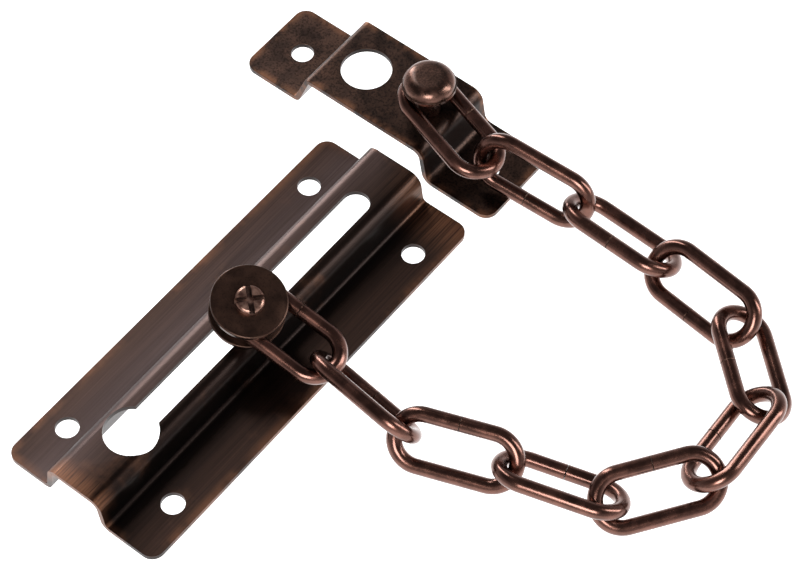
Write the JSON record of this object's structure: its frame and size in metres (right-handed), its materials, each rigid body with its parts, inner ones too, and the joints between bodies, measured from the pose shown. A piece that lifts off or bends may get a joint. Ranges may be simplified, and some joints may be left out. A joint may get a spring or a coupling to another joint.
{
  "type": "door chain guard",
  "caption": "Door security chain: slotted keyhole track with a sliding button, a wire-link chain and a raised keeper plate with a rivet post, in antique bronze finish.",
  "frame": {"origin": "middle of the track's back face, at the centre of its four screw holes", "axes": "+Z off the door, +Y along the slot towards its plain end (the keyhole is at the -Y end), +X across the track towards the chain"},
  "size_m": [0.1528, 0.131, 0.0218],
  "materials": {
    "track_finish": "dark antique bronze plating, brushed along the length, worn to copper at edges",
    "keeper_finish": "antique bronze plating, mottled, worn to copper at edges",
    "slider_finish": "dark antique bronze plating, faint turned rings",
    "screw_finish": "antique bronze plating, bright on the raised quarters",
    "rivet_finish": "copper-bright antique bronze plating",
    "chain_finish": "smooth reddish antique bronze plating"
  },
  "bodies": {
    "track": {"track_plate": "track_finish"},
    "slider": {"slider_foot": "slider_finish", "slider_washer": "slider_finish", "slider_cap": "slider_finish", "slider_screw": "screw_finish"},
    "link_01_body": {"link_01": "chain_finish"},
    "link_02_body": {"link_02": "chain_finish"},
    "link_03_body": {"link_03": "chain_finish"},
    "link_04_body": {"link_04": "chain_finish"},
    "link_05_body": {"link_05": "chain_finish"},
    "link_06_body": {"link_06": "chain_finish"},
    "link_07_body": {"link_07": "chain_finish"},
    "link_08_body": {"link_08": "chain_finish"},
    "link_09_body": {"link_09": "chain_finish"},
    "link_10_body": {"link_10": "chain_finish"},
    "link_11_body": {"link_11": "chain_finish"},
    "keeper": {"keeper_plate": "keeper_finish", "keeper_rivet": "rivet_finish"}
  },
  "joints": [
    {"name": "slider_slide", "type": "slide", "parent": "track", "child": "slider", "axis": [0, 1, 0], "range_m": [-0.004, 0.0365]},
    {"name": "link_01_swing", "type": "hinge", "parent": "slider", "child": "link_01_body", "pos_m": [0, 0.0014, 0.0084], "axis": [0.259, -0.0943, 0.9613], "range_deg": [-24, 55]},
    {"name": "link_02_swing", "type": "hinge", "parent": "link_01_body", "child": "link_02_body", "pos_m": [0.02189, -0.00065, 0.00853], "axis": [-0.5757, -0.8077, 0.1274], "range_deg": [-3, 85]},
    {"name": "link_03_swing", "type": "hinge", "parent": "link_02_body", "child": "link_03_body", "pos_m": [0.04528, -0.00015, 0.00826], "axis": [-0.2622, -0.505, 0.8223], "range_deg": [-45, 2]},
    {"name": "link_04_swing", "type": "hinge", "parent": "link_03_body", "child": "link_04_body", "pos_m": [0.06673, 0.00869, 0.00685], "axis": [-0.3106, 0.597, 0.7396], "range_deg": [-90, 2]},
    {"name": "link_05_swing", "type": "hinge", "parent": "link_04_body", "child": "link_05_body", "pos_m": [0.08815, 0.01143, 0.00686], "axis": [-0.4897, -0.7659, 0.4166], "range_deg": [-27, 2]},
    {"name": "link_06_swing", "type": "hinge", "parent": "link_05_body", "child": "link_06_body", "pos_m": [0.10093, 0.03243, 0.00508], "axis": [-0.5414, 0.6329, 0.5535], "range_deg": [-70, 1]},
    {"name": "link_07_swing", "type": "hinge", "parent": "link_06_body", "child": "link_07_body", "pos_m": [0.09297, 0.05113, 0.00288], "axis": [-0.2385, -0.9489, -0.2065], "range_deg": [-90, 9]},
    {"name": "link_08_swing", "type": "hinge", "parent": "link_07_body", "child": "link_08_body", "pos_m": [0.07894, 0.06341, 0.0066], "axis": [-0.3092, 0.926, -0.2166], "range_deg": [-90, 15]},
    {"name": "link_09_swing", "type": "hinge", "parent": "link_08_body", "child": "link_09_body", "pos_m": [0.05884, 0.06717, 0.00441], "axis": [-0.283, 0.7168, 0.6372], "range_deg": [-45, 3]},
    {"name": "link_10_swing", "type": "hinge", "parent": "link_09_body", "child": "link_10_body", "pos_m": [0.0361, 0.06958, 0.00648], "axis": [0.0819, 0.8512, -0.5184], "range_deg": [-5, 70]},
    {"name": "link_11_swing", "type": "hinge", "parent": "link_10_body", "child": "link_11_body", "pos_m": [0.0143, 0.0641, 0.00871], "axis": [0.3615, -0.2306, -0.9034], "range_deg": [-18, 18]},
    {"name": "keeper_swing", "type": "hinge", "parent": "link_11_body", "child": "keeper", "pos_m": [-0.0029, 0.0678, 0], "axis": [0, 0, 1], "range_deg": [-6, 28]}
  ]
}
